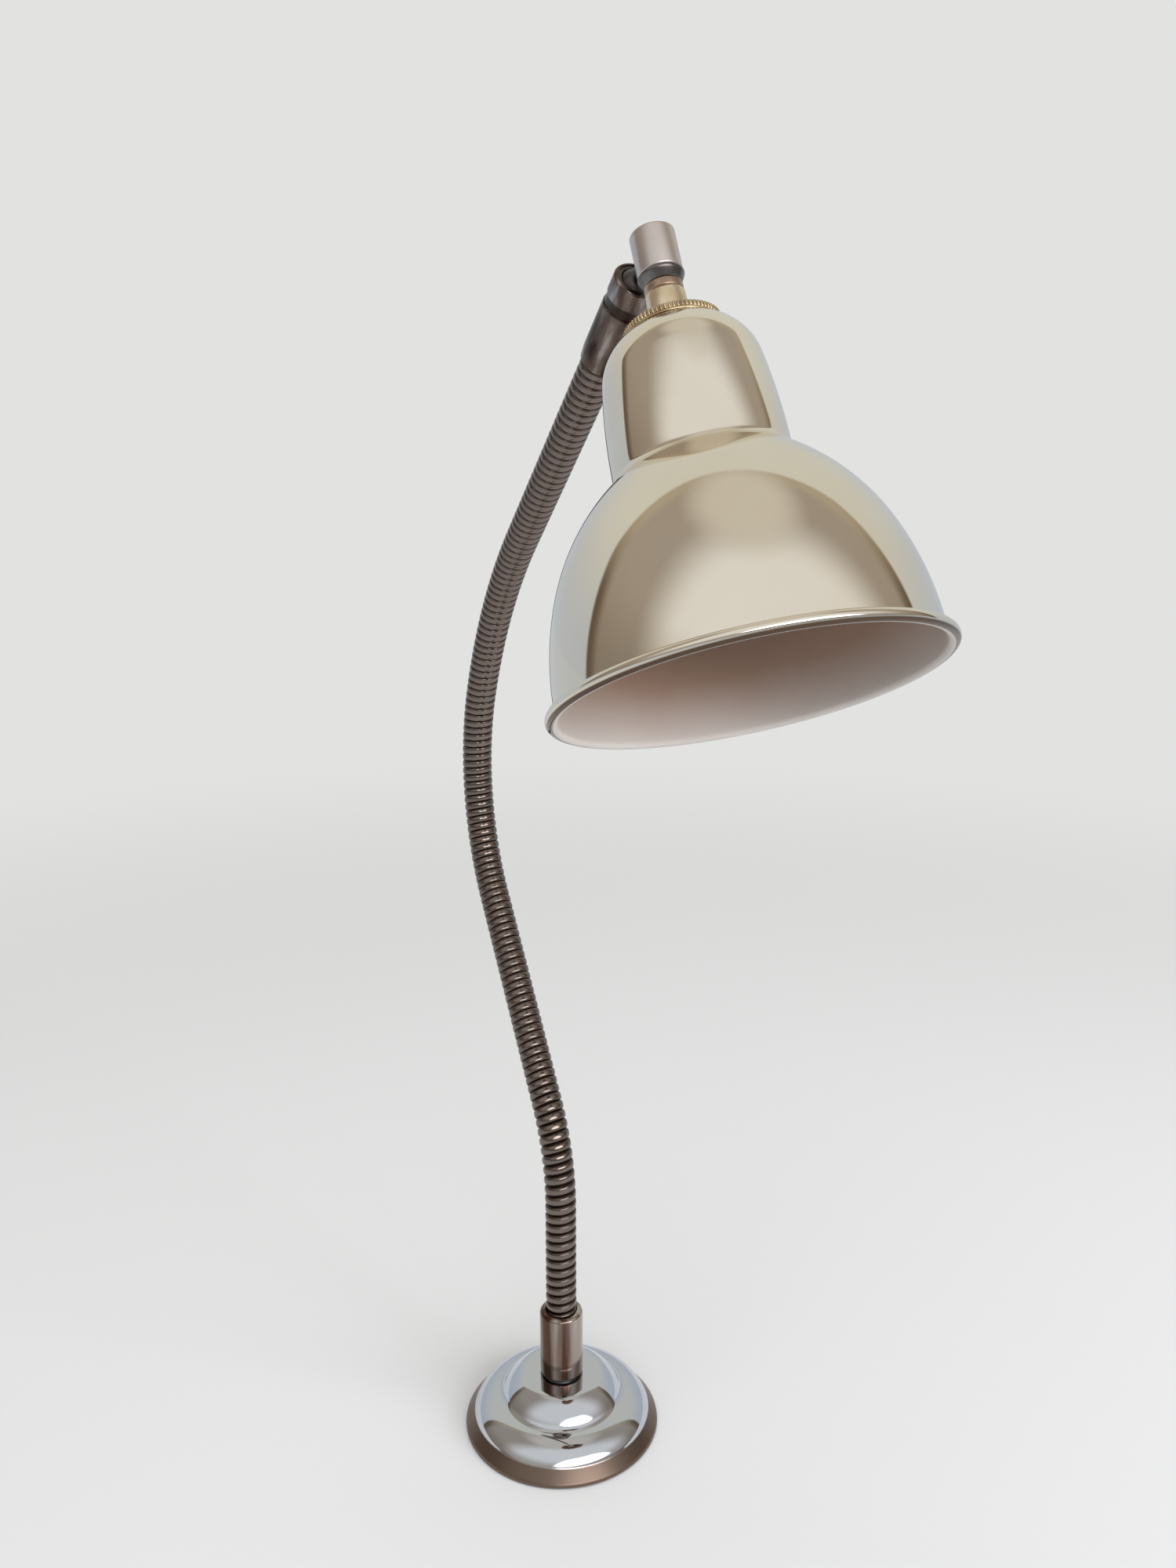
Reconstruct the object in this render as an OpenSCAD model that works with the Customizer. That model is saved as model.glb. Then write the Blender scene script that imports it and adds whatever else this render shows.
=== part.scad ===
// Flexible bench lamp: a weighted round base, a ribbed gooseneck, a ball joint
// and a double-dome metal shade over a screw lampholder.
// Frame: origin under the middle of the base, +Z up, the light faces -Y,
// and the gooseneck lies in the YZ plane. All sizes are in millimetres.

/* [Base] */
// Diameter of the base at the bench
base_d = 102; // [100:1:106]
// Height of the base up to its spacer collar
base_h = 28.8; // [28.6:0.1:29]
// Thickness of the spun cover
cover_t = 1.2; // [1:0.1:1.4]
// Diameter of the lower sleeve
sleeve_d = 22.4; // [22:0.1:24]
// Height of the top of the lower sleeve
sleeve_top = 66; // [64:1:70]

/* [Gooseneck] */
// Diameter over the ribs of the hose
hose_d = 16; // [15.6:0.1:16.2]
// Diameter of the hose's bore
hose_bore_d = 11; // [10:0.5:11.5]
// Spacing of the ribs
rib_pitch = 4; // [3.8:0.1:4.4]
// Opening between two hose lengths, which lets the joint there bend
bend_gap = 4.8; // [4.6:0.1:6]
// Largest bend at one joint, either way, in degrees
bend_max = 25; // [15:1:25]
// Diameter of the lead inside the hose
lead_d = 5.2; // [4:0.2:5.6]

/* [Upper sleeve and ball joint] */
// Diameter of the upper sleeve
tube_d = 18.2; // [18:0.1:19]
// Length of the upper sleeve
tube_len = 41.6; // [40:0.1:46]
// Diameter of the ball
ball_d = 14; // [13.6:0.1:14]
// Diameter of the ball's neck
neck_d = 5.6; // [5:0.1:6]
// From the ball's centre to the axis of the head
neck_len = 20.3; // [19:0.1:23]

/* [Head] */
// Angle of the ball's neck from upright: 90 hangs the shade straight down
neck_angle = 64; // [58:1:70]
// Diameter of the barrel above the shade
barrel_d = 17; // [16:0.5:18]
// Length of the barrel
barrel_len = 17; // [16:0.5:20]
// Diameter of the knurled nut
knurl_d = 36.4; // [34:0.2:38]
// Teeth round the knurled nut
knurl_teeth = 72; // [48:1:90]

/* [Shade] */
// Thickness of the spun shade
shade_t = 0.7; // [0.6:0.1:1]
// Radius of the upper dome at its foot
dome_r = 32.2; // [31.6:0.2:33]
// Radius of the bell at its mouth
mouth_r = 67.6; // [66:0.2:69]
// Radius of the rolled bead on the rim
bead_r = 2.2; // [2:0.1:2.6]

/* [Lampholder and bulb] */
// Diameter of the lampholder
holder_d = 38; // [37:0.5:40]
// Diameter of the bulb's glass
bulb_d = 45; // [40:1:47]

/* [Hidden] */
$fn = 96;
fit = 0.05;

// Gooseneck route: runs of [length, turn in degrees], from the floor of the lower sleeve's socket
socket_depth = 10;
route = [[70, 0], [54, -38.5], [115, 0], [115, 61], [106, 27.5], [125, 0]];
route_z = sleeve_top - socket_depth;
function total(v, i = 0) = i == len(v) ? [0, 0] : v[i] + total(v, i + 1);
route_len = total(route)[0];
tube_angle = total(route)[1];
// Stations of the five bends along the route
bends = [106, 198, 290, 382, 474];

// A place on the route is [y, z, angle from upright]
function advance(p, l, turn) =
  let (a = p[2], k = turn == 0 ? 0 : turn * PI / 180 / l)
  turn == 0
    ? [p[0] - l * sin(a), p[1] + l * cos(a), a]
    : [p[0] + (cos(a + turn) - cos(a)) / k, p[1] + (sin(a + turn) - sin(a)) / k, a + turn];
function at(s, i = 0, p = [0, route_z, 0]) =
  i == len(route) - 1 || s <= route[i][0]
    ? advance(p, s, route[i][1] * s / route[i][0])
    : at(s - route[i][0], i + 1, advance(p, route[i][0], route[i][1]));

// Places that the sleeve, the ball and the head hang on
tube_at = at(route_len - socket_depth);
ball_z = tube_len - 4.2;
ball_yz = [tube_at[0] - ball_z * sin(tube_angle), tube_at[1] + ball_z * cos(tube_angle)];
head_yz = ball_yz + neck_len * [-sin(neck_angle), cos(neck_angle)];
head_tilt = neck_angle - 90;

// Levels down the head's axis, from the middle of the barrel
barrel_bot = -barrel_len / 2;
lock_bot = barrel_bot - 4.3;
washer_bot = lock_bot - 3.4;
collar_bot = washer_bot - 12.3;
knurl_top = collar_bot - 0.9;
shade_top = knurl_top - 1.2;
knurl_bot = shade_top - 2;
nipple_r = 5;
nipple_bore_r = 3.4;

// Points on an arc, for profiles
function arc(c, r, a0, a1, n = 10) = [for (i = [0:n]) let (a = a0 + (a1 - a0) * i / n) c + r * [cos(a), sin(a)]];
function flip(v) = [for (i = [len(v) - 1:-1:0]) v[i]];

module on_tube() {
  translate([0, tube_at[0], tube_at[1]]) rotate([tube_angle, 0, 0]) children();
}

module on_head() {
  translate([0, head_yz[0], head_yz[1]]) rotate([head_tilt, 0, 0]) children();
}

// A ring with square edges between two levels
module ring(r, bore, z0, z1) {
  difference() {
    translate([0, 0, z0]) cylinder(r = r, h = z1 - z0);
    translate([0, 0, z0 - 1]) cylinder(r = bore, h = z1 - z0 + 2);
  }
}

// A ring whose outer edges are rounded
module soft_ring(r, bore, z0, z1, edge) {
  rotate_extrude() polygon(concat(
    [[bore, z0]],
    arc([r - edge, z0 + edge], edge, -90, 0, 6),
    arc([r - edge, z1 - edge], edge, 0, 90, 6),
    [[bore, z1]]
  ));
}

// Base: a stepped cover over an iron weight, closed below by a plate and felt
base_r = base_d / 2;
shoulder = [base_r - 4.9, 7.6];
tier_r = 30.5;

// The upper tier's flank and the bend into its flat top, moved inwards by o
function tier_dome(o) = concat(
  arc([tier_r - 22.5, base_h - 22.58], 26 - o, 33, 55, 8),
  arc([tier_r - 11.6, base_h - 7], 7 - o, 58, 90, 7)
);

// The cover's outline, moved inwards by o
function cover_line(o) = concat(
  [[base_r - o, 0.6], [base_r - 0.6 - o, 2.4], shoulder - [o, o / 2]],
  arc([base_r - 19.5, 1.6], 15.8 - o, 24, 90),
  arc([tier_r + 1, 18.4], 1 + o, 270, 180, 6),
  arc([tier_r - 3, 18.4], 3 - o, 6, 32, 4),
  tier_dome(o),
  [[nipple_r + 0.1, base_h - o]]
);

inlet_z = 7.7;
inlet_r = 3.4;
plate_z = 1;
weight_z = 2.7;

module cable_way(r, z0, z1) {
  translate([-r, 0, z0]) cube([2 * r, base_r, z1 - z0]);
}

module base_cover() {
  color("silver") difference() {
    rotate_extrude() polygon(concat(cover_line(0), flip(cover_line(cover_t))));
    translate([0, base_r - 12, inlet_z]) rotate([-90, 0, 0]) cylinder(r = inlet_r + fit, h = 20);
  }
}

module base_weight() {
  r = base_r;
  color("dimgray") difference() {
    rotate_extrude() polygon(concat([
      [nipple_r + 0.3, weight_z], [r - 7, weight_z], [r - 7, 6.6], [r - 12, 11.8], [r - 18, 13.6],
      [tier_r - 2.5, 14]
    ], tier_dome(2.3), [[nipple_r + 0.3, base_h - 2.3]]));
    translate([0, 0, weight_z - 1]) cylinder(r = 11, h = 7.6);
    cable_way(3.7, weight_z - 1, inlet_z + inlet_r + 0.3);
    for (a = screw_angles) rotate(a) translate([screw_circle_r, 0, 0]) cylinder(r = screw_r + fit, h = 10);
  }
}

screw_angles = [30, 150, 270];
screw_circle_r = 34;
screw_r = 2;

module base_plate() {
  color("gray") difference() {
    translate([0, 0, plate_z]) cylinder(r = base_r - 2.3, h = 1.6);
    for (a = screw_angles) rotate(a) translate([screw_circle_r, 0, 0]) screw(fit, 3);
  }
}

module felt_pad() {
  color("darkgreen") difference() {
    cylinder(r = base_r - 1.8, h = plate_z);
    for (a = screw_angles) rotate(a) translate([screw_circle_r, 0, -1]) cylinder(r = 4.4, h = 4);
  }
}

// A countersunk screw, head down, flush with the plate's underside
module screw(grow, len) {
  translate([0, 0, plate_z]) {
    cylinder(r1 = 3.6 + grow, r2 = screw_r + grow, h = 1.6);
    cylinder(r = screw_r + grow, h = len);
  }
}

module plate_screws() {
  color("lightgray") for (a = screw_angles) rotate(a) translate([screw_circle_r, 0, 0]) difference() {
    screw(0, 8);
    translate([-4, -0.5, plate_z - 1]) cube([8, 1, 1.7]);
  }
}

module base_nipple() {
  color("darkgoldenrod") ring(nipple_r, nipple_bore_r, 3, sleeve_top - 24);
}

module base_washer() {
  color("lightgray") ring(10, nipple_r + 0.2, weight_z + 5.4, weight_z + 6.6);
}

module base_nut() {
  color("lightgray") difference() {
    translate([0, 0, weight_z + 0.6]) cylinder(r = 9.8, h = 4.8, $fn = 6);
    cylinder(r = nipple_r + fit, h = 20);
  }
}

module cable_bush() {
  color([0.1, 0.1, 0.1]) translate([0, base_r - 11, inlet_z]) rotate([-90, 0, 0]) {
    ring(inlet_r, 2.5, 0, 4.4);
  }
}

module base_collar() {
  color("silver") soft_ring(sleeve_d / 2 - 1.2, nipple_r + fit, base_h, base_h + 1.5, 0.2);
}

module lower_sleeve() {
  r = sleeve_d / 2;
  z0 = base_h + 1.5;
  lip = 2.6;
  color("silver") rotate_extrude() polygon(concat(
    [[nipple_r + fit, z0], [r - 0.5, z0], [r, z0 + 0.5]],
    arc([r - lip, sleeve_top - lip], lip, 0, 90, 8),
    [[hose_d / 2 + 0.35, sleeve_top], [hose_d / 2 + 0.35, route_z], [nipple_bore_r + 0.6, route_z]],
    [[nipple_bore_r + 0.6, sleeve_top - 23.6], [nipple_r + fit, sleeve_top - 23.6]]
  ));
}

// Gooseneck: each length is one tube swept along the route, with two rings of eight points a rib.
// Stations are paired with radii; the bore has a ring every three ribs.
sides = 8;
crest_r = hose_d / 2 + 0.1;
valley_r = hose_d / 2 - 0.8;

function swept_ring(s, r) =
  let (p = at(s))
  [for (i = [0:sides - 1])
    let (a = 360 * (i + 0.5) / sides)
    [r * cos(a), p[0] + r * sin(a) * cos(p[2]), p[1] + r * sin(a) * sin(p[2])]];

// Triangles of the band between ring a and ring b, facing out or, with the rings swapped, in
function band(a, b) = [for (i = [0:sides - 1]) let (j = (i + 1) % sides)
  each [[a + i, b + i, b + j], [a + i, b + j, a + j]]];

// A swept tube from lists of [station, radius] for its outside and its bore
module swept_tube(outer, bore) {
  n = len(outer);
  m = len(bore);
  pts = [for (q = concat(outer, bore)) each swept_ring(q[0], q[1])];
  polyhedron(pts, concat(
    [for (k = [0:n - 2]) each band(k * sides, (k + 1) * sides)],
    [for (k = [0:m - 2]) each band((n + k + 1) * sides, (n + k) * sides)],
    band(n * sides, 0),
    band((n - 1) * sides, (n + m - 1) * sides)
  ));
}

// A solid swept rod
module swept_rod(stations, r) {
  n = len(stations);
  pts = [for (s = stations) each swept_ring(s, r)];
  polyhedron(pts, concat(
    [for (k = [0:n - 2]) each band(k * sides, (k + 1) * sides)],
    [for (i = [1:sides - 2]) [0, i, i + 1]],
    [for (i = [1:sides - 2]) let (e = (n - 1) * sides) [e, e + i + 1, e + i]]
  ));
}

function from_s(k) = k == 1 ? 0 : bends[k - 2] + bend_gap / 2;
function to_s(k) = k == len(bends) + 1 ? route_len : bends[k - 1] - bend_gap / 2;

module hose(k) {
  a = from_s(k);
  b = to_s(k);
  ribs = round((b - a) / rib_pitch);
  step = (b - a) / ribs;
  color([0.45, 0.43, 0.42]) swept_tube(
    concat([[a, valley_r]], [for (i = [0:ribs - 1]) each [
      [a + (i + 0.5) * step, crest_r],
      [a + (i + 1) * step, valley_r]
    ]]),
    [for (i = [0:ceil(ribs / 3)]) [a + (b - a) * i / ceil(ribs / 3), hose_bore_d / 2]]
  );
}

// The lead starts low in the base's nipple and ends under the ball's seat
module lead(k) {
  a = k == 1 ? 6 - route_z : from_s(k);
  b = k == len(bends) + 1 ? route_len + 14 : to_s(k);
  n = ceil((b - a) / 13);
  color([0.2, 0.17, 0.15]) swept_rod([for (i = [0:n]) a + (b - a) * i / n], lead_d / 2);
}

module hose_1() { hose(1); }
module hose_2() { hose(2); }
module hose_3() { hose(3); }
module hose_4() { hose(4); }
module hose_5() { hose(5); }
module hose_6() { hose(6); }
module lead_1() { lead(1); }
module lead_2() { lead(2); }
module lead_3() { lead(3); }
module lead_4() { lead(4); }
module lead_5() { lead(5); }
module lead_6() { lead(6); }

// Upper sleeve with the ball's seat, spring washer and screwed-in ring
ball_r = ball_d / 2;
ball_clear = 0.3;
seat_r = 7.4;
seat_bot = ball_z - 9.5;
washer_z = seat_bot - 2;

module upper_sleeve() {
  r = tube_d / 2;
  bore = 7.7;
  color([0.55, 0.52, 0.5]) on_tube() rotate_extrude() polygon(concat(
    [[hose_d / 2 + 0.35, 0], [r - 0.35, 0], [r, 4.5]],
    [[r, tube_len - 13.4], [r - 0.5, tube_len - 12.8], [r - 0.5, tube_len - 9], [r, tube_len - 8.4]],
    arc([r - 0.8, tube_len - 0.8], 0.8, 0, 90, 5),
    [[bore, tube_len], [bore, washer_z], [6, washer_z], [6, socket_depth], [hose_d / 2 + 0.35, socket_depth]]
  ));
}

module spring_washer() {
  color("lightgray") on_tube() ring(7.2, 4.5, washer_z, washer_z + 1.6);
}

module ball_seat() {
  color("tan") on_tube() difference() {
    translate([0, 0, seat_bot]) cylinder(r = seat_r, h = 7.2);
    translate([0, 0, ball_z]) sphere(r = ball_r + ball_clear);
    translate([0, 0, seat_bot - 1]) cylinder(r = 3.4, h = 9);
  }
}

module socket_ring() {
  color([0.4, 0.38, 0.37]) on_tube() difference() {
    translate([0, 0, ball_z - 1.2]) cylinder(r = 7.65, h = 5);
    translate([0, 0, ball_z]) sphere(r = ball_r + ball_clear);
  }
}

// Head: the ball's neck screws into the side of the barrel, a threaded nipple carries the rest
module ball_stud() {
  bore = 1.9;
  r = neck_d / 2;
  color([0.3, 0.29, 0.29]) on_head() translate([0, neck_len, 0]) rotate([90, 0, 0]) difference() {
    union() {
      sphere(r = ball_r);
      cylinder(r = r, h = neck_len - barrel_d / 2 - 0.1);
      translate([0, 0, neck_len - barrel_d / 2 - 2.2]) cylinder(r = r + 1.4, h = 2.1);
      cylinder(r = r - 0.4, h = neck_len - nipple_r - 0.6);
    }
    translate([0, 0, -ball_r - 1]) cylinder(r = bore, h = neck_len + ball_r);
    translate([0, 0, -ball_r - 1]) cylinder(r1 = 4.4, r2 = bore, h = 3);
  }
}

module barrel() {
  r = barrel_d / 2;
  top = barrel_len / 2;
  edge = 1.6;
  color([0.75, 0.72, 0.69]) on_head() difference() {
    rotate_extrude() polygon(concat(
      [[0, barrel_bot], [r, barrel_bot]],
      arc([r - edge, top - edge], edge, 0, 90, 8),
      [[0, top]]
    ));
    translate([0, 0, barrel_bot - 1]) cylinder(r = nipple_r + fit, h = barrel_len - 2);
    rotate([-90, 0, 0]) cylinder(r = neck_d / 2 - 0.4 + fit, h = barrel_d);
  }
}

module lock_ring() {
  color([0.25, 0.25, 0.26]) on_head() soft_ring(barrel_d / 2 + 0.4, nipple_r + fit, lock_bot, barrel_bot, 2);
}

module brass_washer() {
  color("goldenrod") on_head() soft_ring(7.3, nipple_r + fit, washer_bot, lock_bot, 0.5);
}

module brass_collar() {
  color("goldenrod") on_head() rotate_extrude() polygon(concat(
    [[nipple_r + fit, collar_bot], [8, collar_bot]],
    arc([6.5, washer_bot - 1], 1, 5, 90, 5),
    [[nipple_r + fit, washer_bot]]
  ));
}

module head_nipple() {
  color("darkgoldenrod") on_head() ring(nipple_r, nipple_bore_r, shade_top - 6, barrel_bot + 4.5);
}

// The lead's last stretch: in through the ball, round the bend in the barrel, down the nipple
module head_lead() {
  r = 1.4;
  bend = 2.6;
  color([0.2, 0.17, 0.15]) on_head() {
    translate([0, bend, 0]) rotate([-90, 0, 0]) cylinder(r = r, h = neck_len - bend + 3);
    translate([0, bend, -bend]) rotate([0, -90, 180]) rotate_extrude(angle = 90) {
      translate([bend, 0]) circle(r = r);
    }
    translate([0, 0, shade_top - 13]) cylinder(r = r, h = -bend - shade_top + 13);
  }
}

// Knurled nut: a toothed disc on a plain rim, dished below to sit over the shade's crown
module knurled_nut() {
  r = knurl_d / 2;
  n = knurl_teeth;
  color("goldenrod") on_head() difference() {
    union() {
      translate([0, 0, knurl_bot]) cylinder(r = r - 0.2, h = 0.9);
      translate([0, 0, knurl_bot + 0.9]) linear_extrude(knurl_top - knurl_bot - 0.9) polygon([
        for (i = [0:2 * n - 1]) (r - (i % 2) * 0.45) * [cos(180 * i / n), sin(180 * i / n)]
      ]);
      translate([0, 0, knurl_top]) cylinder(r1 = r - 0.5, r2 = r - 3, h = 0.9);
    }
    rotate_extrude() polygon(concat(
      [[0, shade_top - 10]],
      arc(shoulder_c, shoulder_r + 0.15, 20, 90, 16),
      [[0, shade_top + 0.15]]
    ));
    translate([0, 0, knurl_bot - 1]) cylinder(r = nipple_r + fit, h = 8);
  }
}

// Shade: shoulder, tall dome, cove and a bell of two arcs, moved inwards by o, then a rolled bead
bell_up = 84;
bell_low = 112;
bell_mid = 20;
cove_r = 4;
shoulder_r = 21.3;
side_r = 235;
side_turn = 8.9;
waist = dome_r + cove_r;
cove_turn = acos((waist - mouth_r + bell_low + (bell_up - bell_low) * cos(bell_mid)) / (cove_r + bell_up));
dome_foot = shade_top - side_r * sin(side_turn) - shoulder_r * (1 - sin(side_turn));
bell_c = [waist, dome_foot] - (cove_r + bell_up) * [cos(cove_turn), sin(cove_turn)];
bell_z = bell_c[1] + (bell_up - bell_low) * sin(bell_mid);
knee = [dome_r - side_r * (1 - cos(side_turn)), dome_foot + side_r * sin(side_turn)];
shoulder_c = knee - shoulder_r * [cos(side_turn), sin(side_turn)];
bead_c = [mouth_r + bead_r - shade_t, bell_z - 2];

function shade_line(o) = concat(
  [[nipple_r + 0.3, shoulder_c[1] + shoulder_r - o]],
  arc(shoulder_c, shoulder_r - o, 90, side_turn, 12),
  arc([dome_r - side_r, dome_foot], side_r - o, side_turn * 0.8, 0, 5),
  arc([waist, dome_foot], cove_r + o, 188, 180 + cove_turn, 6),
  arc(bell_c, bell_up - o, cove_turn - 1.5, bell_mid + 2, 8),
  arc([mouth_r - bell_low, bell_z], bell_low - o, bell_mid, 0, 8)
);

module shade() {
  color([0.83, 0.8, 0.74]) on_head() rotate_extrude() polygon(concat(
    shade_line(0),
    arc(bead_c, bead_r, acos(shade_t / bead_r - 1), -175, 16),
    flip(shade_line(shade_t))
  ));
}

// Lampholder: cap, body, porcelain insulator, screw shell and contact
holder_r = holder_d / 2;
cap_top = shade_top - shade_t - 0.2;
body_top = cap_top - 13;
body_bot = shade_top - 54;

module holder_cap() {
  color("goldenrod") on_head() rotate_extrude() polygon([
    [nipple_r + fit, cap_top], [10.5, cap_top], [13, cap_top - 3], [holder_r, body_top + 2], [holder_r, body_top],
    [holder_r - 1.4, body_top], [holder_r - 1.4, body_top + 1.6], [12, cap_top - 4.6], [8, cap_top - 4.6],
    [nipple_r + fit, cap_top - 4.6]
  ]);
}

module holder_body() {
  color("goldenrod") on_head() soft_ring(holder_r, holder_r - 1.4, body_bot, body_top, 0.5);
}

module holder_insulator() {
  z1 = body_top - 4;
  color("white") on_head() difference() {
    translate([0, 0, z1 - 12]) cylinder(r = holder_r - 1.5, h = 12);
    translate([0, 0, z1 - 13]) cylinder(r = 12, h = 6);
    translate([0, 0, z1 - 13]) cylinder(r = contact_rivet_r + fit, h = 14);
    for (x = [-9, 9]) translate([x, 0, z1 - 13]) cylinder(r = 1.6, h = 14);
  }
}

contact_rivet_r = 2.2;
shell_r = 13.9;
shell_top = body_top - 16.2;

module screw_shell() {
  color("gold") on_head() ring(shell_r, shell_r - 0.5, body_bot + 1, shell_top);
}

// A disc under the porcelain, with a hollow rivet up through it
module centre_contact() {
  color("gold") on_head() difference() {
    union() {
      translate([0, 0, shell_top + 3.8]) cylinder(r = 4, h = 1.3);
      translate([0, 0, shell_top + 3.8]) cylinder(r = contact_rivet_r, h = 4);
    }
    translate([0, 0, shell_top + 3]) cylinder(r = 1, h = 6);
  }
}

bulb_cap_r = 13.1;
bulb_neck_z = body_bot - 1.5;

module bulb_cap() {
  r = bulb_cap_r;
  z = shell_top;
  color("silver") on_head() rotate_extrude() polygon([
    [r - 0.6, bulb_neck_z], [r, bulb_neck_z], [r, z - 1.4], [6, z + 2.2], [4.6, z + 2.2], [4.6, z + 3.7],
    [0, z + 3.7], [0, z + 2.9], [3.8, z + 2.9], [3.8, z + 1.6], [5.6, z + 1.6], [r - 0.6, z - 1.9]
  ]);
}

module bulb_glass() {
  r = bulb_d / 2;
  c = bulb_neck_z - 27;
  wall = 1;
  throat = bulb_cap_r - 0.7;
  a = 49;
  color([0.95, 0.94, 0.9]) on_head() rotate_extrude() polygon(concat(
    [[throat - wall, bulb_neck_z + 6], [throat, bulb_neck_z + 6], [throat, bulb_neck_z - 3]],
    arc([0, c], r, a, -90, 18),
    arc([0, c], r - wall, -90, a, 18),
    [[throat - wall, bulb_neck_z - 3]]
  ));
}

base_cover();
base_weight();
base_plate();
felt_pad();
plate_screws();
base_nipple();
base_washer();
base_nut();
cable_bush();
base_collar();
lower_sleeve();
hose_1();
hose_2();
hose_3();
hose_4();
hose_5();
hose_6();
lead_1();
lead_2();
lead_3();
lead_4();
lead_5();
lead_6();
upper_sleeve();
spring_washer();
ball_seat();
socket_ring();
ball_stud();
barrel();
lock_ring();
brass_washer();
brass_collar();
head_nipple();
head_lead();
knurled_nut();
shade();
holder_cap();
holder_body();
holder_insulator();
screw_shell();
centre_contact();
bulb_cap();
bulb_glass();

echo(ball = ball_yz, head = head_yz, tube = tube_at, tube_angle = tube_angle);
echo(bend_places = [for (s = bends) at(s)]);
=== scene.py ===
import math

import bpy
from mathutils import Matrix, Vector


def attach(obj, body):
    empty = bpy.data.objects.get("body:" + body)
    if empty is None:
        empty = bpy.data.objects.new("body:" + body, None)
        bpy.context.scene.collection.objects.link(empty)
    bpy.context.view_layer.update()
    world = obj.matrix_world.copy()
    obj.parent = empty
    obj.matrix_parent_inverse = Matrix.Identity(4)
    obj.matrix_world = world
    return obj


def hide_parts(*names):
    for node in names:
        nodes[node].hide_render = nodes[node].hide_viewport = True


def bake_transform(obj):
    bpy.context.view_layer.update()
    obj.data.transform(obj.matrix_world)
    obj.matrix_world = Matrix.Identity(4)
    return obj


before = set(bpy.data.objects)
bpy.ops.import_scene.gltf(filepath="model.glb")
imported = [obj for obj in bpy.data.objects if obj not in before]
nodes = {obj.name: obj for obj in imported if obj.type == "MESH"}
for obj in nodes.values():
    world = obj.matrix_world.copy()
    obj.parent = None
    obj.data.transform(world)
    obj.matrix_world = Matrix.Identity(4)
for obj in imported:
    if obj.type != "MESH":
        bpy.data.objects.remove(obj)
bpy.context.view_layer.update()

# One mm in metres, and the mm in a metre: a pattern of n mm has a scale of METRE / n
MM = 0.001
METRE = 1000

# The route of the gooseneck, as runs of (length in mm, turn in degrees), from the floor of its lower socket;
# how far along it the five bends are, and how long it is
ROUTE = [(70, 0), (54, -38.5), (115, 0), (115, 61), (106, 27.5), (125, 0)]
ROUTE_Z = 56
BENDS = [106, 198, 290, 382, 474]
HOSE_LENGTH = 585


def along(s):
    """The place on the route s mm from its start: y and z in mm, and the angle from upright in radians."""
    y, z, a = 0.0, float(ROUTE_Z), 0.0
    for i, (length, turn) in enumerate(ROUTE):
        d = s if s <= length or i == len(ROUTE) - 1 else length
        k = math.radians(turn) / length
        b = a + k * d
        if turn == 0:
            y -= d * math.sin(a)
            z += d * math.cos(a)
        else:
            y += (math.cos(b) - math.cos(a)) / k
            z += (math.sin(b) - math.sin(a)) / k
        a = b
        s -= d
        if s <= 0:
            break
    return y, z, a


# Where the turned pieces stand: on the bench, on the upper sleeve's axis, and on the head's axis
ON_BENCH = Matrix.Identity(4)
SLEEVE_PLACE = (0, -45.855 * MM, 533.191 * MM)
SLEEVE_TURN = (math.radians(50), 0, 0)
ON_SLEEVE = Matrix.Translation(SLEEVE_PLACE) @ Matrix.Rotation(SLEEVE_TURN[0], 4, "X")
HEAD_PLACE = (0, -92.7505 * MM, 566.13 * MM)
HEAD_TURN = (math.radians(-26), 0, 0)
ON_HEAD = Matrix.Translation(HEAD_PLACE) @ Matrix.Rotation(HEAD_TURN[0], 4, "X")


def linear(colour):
    """An sRGB hex value as linear red, green, blue and alpha."""
    parts = [int(colour[i:i + 2], 16) / 255 for i in (1, 3, 5)]
    return tuple(c / 12.92 if c <= 0.04045 else ((c + 0.055) / 1.055) ** 2.4 for c in parts) + (1.0,)


def node(tree, kind, inputs=None, stops=None, **settings):
    """Adds one node with its settings, its inputs' values or links, and a ramp's stops."""
    made = tree.nodes.new(kind)
    for name, value in settings.items():
        setattr(made, name, value)
    for key, value in (inputs or {}).items():
        if isinstance(value, bpy.types.NodeSocket):
            tree.links.new(value, made.inputs[key])
        else:
            made.inputs[key].default_value = value
    for i, (place, colour) in enumerate(stops or []):
        elements = made.color_ramp.elements
        element = elements[i] if i < 2 else elements.new(place)
        element.position = place
        element.color = linear(colour)
    return made


def finish_of(name, **sockets):
    """A new material, its node tree and its shader, which takes the values that are the same all over."""
    material = bpy.data.materials.new(name)
    material.use_nodes = True
    shader = material.node_tree.nodes["Principled BSDF"]
    for socket, value in sockets.items():
        shader.inputs[socket.replace("_", " ")].default_value = value
    return material, material.node_tree, shader


CAMERA_PLACE = (-0.2285, -0.5281, 0.4839)
CAMERA_TURN = (math.radians(76.66), 0, math.radians(-24.79))


def place_camera():
    """The camera stands close in front, to the left and a little below the shade's top, looking down."""
    bpy.ops.object.select_all(action="DESELECT")
    bpy.ops.object.camera_add(location=CAMERA_PLACE, rotation=CAMERA_TURN)
    camera = bpy.context.object
    camera.name = "Camera"
    camera.data.sensor_width = 36
    camera.data.lens = 28.8
    bpy.context.scene.camera = camera


# The way the camera looks, level with the floor; the bright side of the room behind it; the window there
AHEAD = (0.4193, 0.9079, 0)
BEHIND = (-0.289, -0.957, 0)
WINDOW = (0.0211, -0.9998, 0)
BACKGROUND = "#e2e2e1"
WINDOW_LIGHT = (5.0, 5.0, 5.1, 1)


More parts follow.
